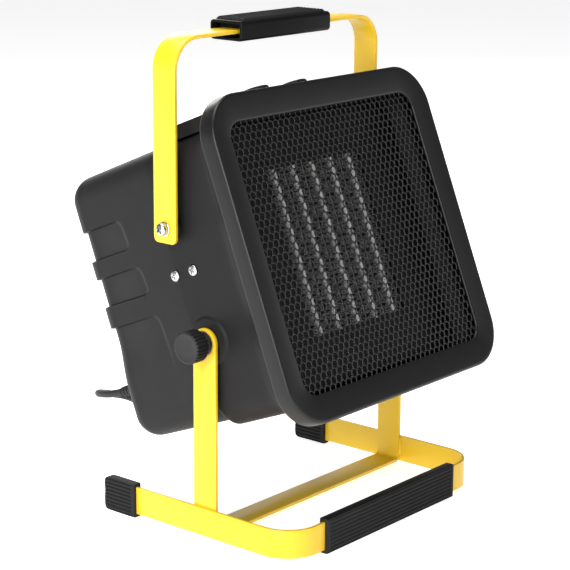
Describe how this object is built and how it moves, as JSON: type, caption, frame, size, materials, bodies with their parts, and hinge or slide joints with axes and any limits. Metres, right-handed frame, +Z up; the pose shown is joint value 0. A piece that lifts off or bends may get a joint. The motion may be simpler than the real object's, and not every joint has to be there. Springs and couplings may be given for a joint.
{
  "type": "ceramic space heater",
  "caption": "Portable ceramic fan heater: square perforated front and tapered housing, tilting in a bent flat-bar stand with clamp knobs and a swinging carry handle.",
  "frame": {"origin": "on the floor, under the middle of the heater and stand, without its cord", "axes": "+Z up, the grille faces -Y, +X to the viewer's right when looking at the grille"},
  "size_m": [0.356, 0.4019, 0.4381],
  "materials": {
    "yellow_steel": "satin powder coat",
    "black_rubber": "matt moulded rubber",
    "knob_plastic": "satin moulded plastic",
    "zinc_steel": "bright zinc plate",
    "fibre": "plain nylon and fibre",
    "housing_plastic": "fine-textured moulded plastic",
    "bezel_plastic": "satin moulded plastic",
    "black_steel": "satin black paint",
    "steel_shaft": "ground steel",
    "insulator": "moulded phenolic",
    "ceramic": "white ceramic",
    "fin_aluminium": "mill-finish strip",
    "duct_plastic": "moulded plastic",
    "motor_steel": "plated can",
    "impeller_plastic": "moulded plastic",
    "wire_cover": "silicone sleeve",
    "cord_rubber": "matt rubber sheath"
  },
  "bodies": {
    "stand": {"base_frame": "yellow_steel", "upright_bracket": "yellow_steel", "weld_beads": "yellow_steel", "foot_cap_left": "black_rubber", "foot_cap_right": "black_rubber", "front_foot_sleeve": "black_rubber", "cord_lead": "cord_rubber", "cord_coil": "cord_rubber", "cord_tail": "cord_rubber", "cord_tie": "fibre", "plug": "cord_rubber", "plug_pins": "zinc_steel"},
    "heater": {"pivot_inserts": "zinc_steel", "friction_washers": "fibre", "housing": "housing_plastic", "rear_cover": "housing_plastic", "rear_cover_screws": "zinc_steel", "bezel": "bezel_plastic", "bezel_screws": "zinc_steel", "grille": "black_steel", "side_screws": "zinc_steel", "control_panel": "housing_plastic", "thermostat_body": "insulator", "selector_switch": "insulator", "baffle_plate": "black_steel", "ptc_bars": "ceramic", "heater_fins": "fin_aluminium", "element_holders": "insulator", "thermal_cutout": "zinc_steel", "fan_duct": "duct_plastic", "motor_bracket": "zinc_steel", "fan_motor": "motor_steel", "terminal_block": "insulator", "wiring": "wire_cover", "strain_relief": "cord_rubber", "handle_bolts": "zinc_steel", "handle_washers": "zinc_steel", "handle_spring_washers": "zinc_steel", "handle_spacers": "fibre"},
    "left_clamp": {"clamp_knob_left": "knob_plastic", "clamp_stud_left": "zinc_steel", "clamp_washer_left": "zinc_steel"},
    "right_clamp": {"clamp_knob_right": "knob_plastic", "clamp_stud_right": "zinc_steel", "clamp_washer_right": "zinc_steel"},
    "handle": {"handle_strap": "yellow_steel", "handle_grip": "housing_plastic", "grip_pad": "black_rubber"},
    "thermostat_control": {"thermostat_knob": "knob_plastic", "thermostat_shaft": "steel_shaft"},
    "selector_control": {"selector_knob": "knob_plastic", "selector_shaft": "steel_shaft"},
    "fan": {"fan_impeller": "impeller_plastic", "motor_shaft": "steel_shaft"}
  },
  "joints": [
    {"name": "tilt", "type": "hinge", "parent": "stand", "child": "heater", "pos_m": [0, -0.03425, 0.1745], "axis": [-1, 0, 0], "range_deg": [-22, 20], "deforming": ["cord_lead"]},
    {"name": "handle_swing", "type": "hinge", "parent": "heater", "child": "handle", "pos_m": [0, 0.00544, 0.2674], "axis": [-1, 0, 0], "range_deg": [-10, 110]},
    {"name": "left_clamp_turn", "type": "hinge", "parent": "heater", "child": "left_clamp", "pos_m": [-0.145, -0.03425, 0.1745], "axis": [-1, 0, 0], "range_deg": [0, 360]},
    {"name": "right_clamp_turn", "type": "hinge", "parent": "heater", "child": "right_clamp", "pos_m": [0.145, -0.03425, 0.1745], "axis": [1, 0, 0], "range_deg": [0, 360]},
    {"name": "thermostat_turn", "type": "hinge", "parent": "heater", "child": "thermostat_control", "pos_m": [-0.026, -0.00409, 0.35861], "axis": [0, 0.3746, 0.9272], "range_deg": [-270, 0]},
    {"name": "selector_turn", "type": "hinge", "parent": "heater", "child": "selector_control", "pos_m": [0.026, -0.00409, 0.35861], "axis": [0, 0.3746, 0.9272], "range_deg": [-135, 0]},
    {"name": "fan_spin", "type": "hinge", "parent": "heater", "child": "fan", "pos_m": [0, 0.0123, 0.20962], "axis": [0, -0.9272, 0.3746], "continuous": true}
  ]
}
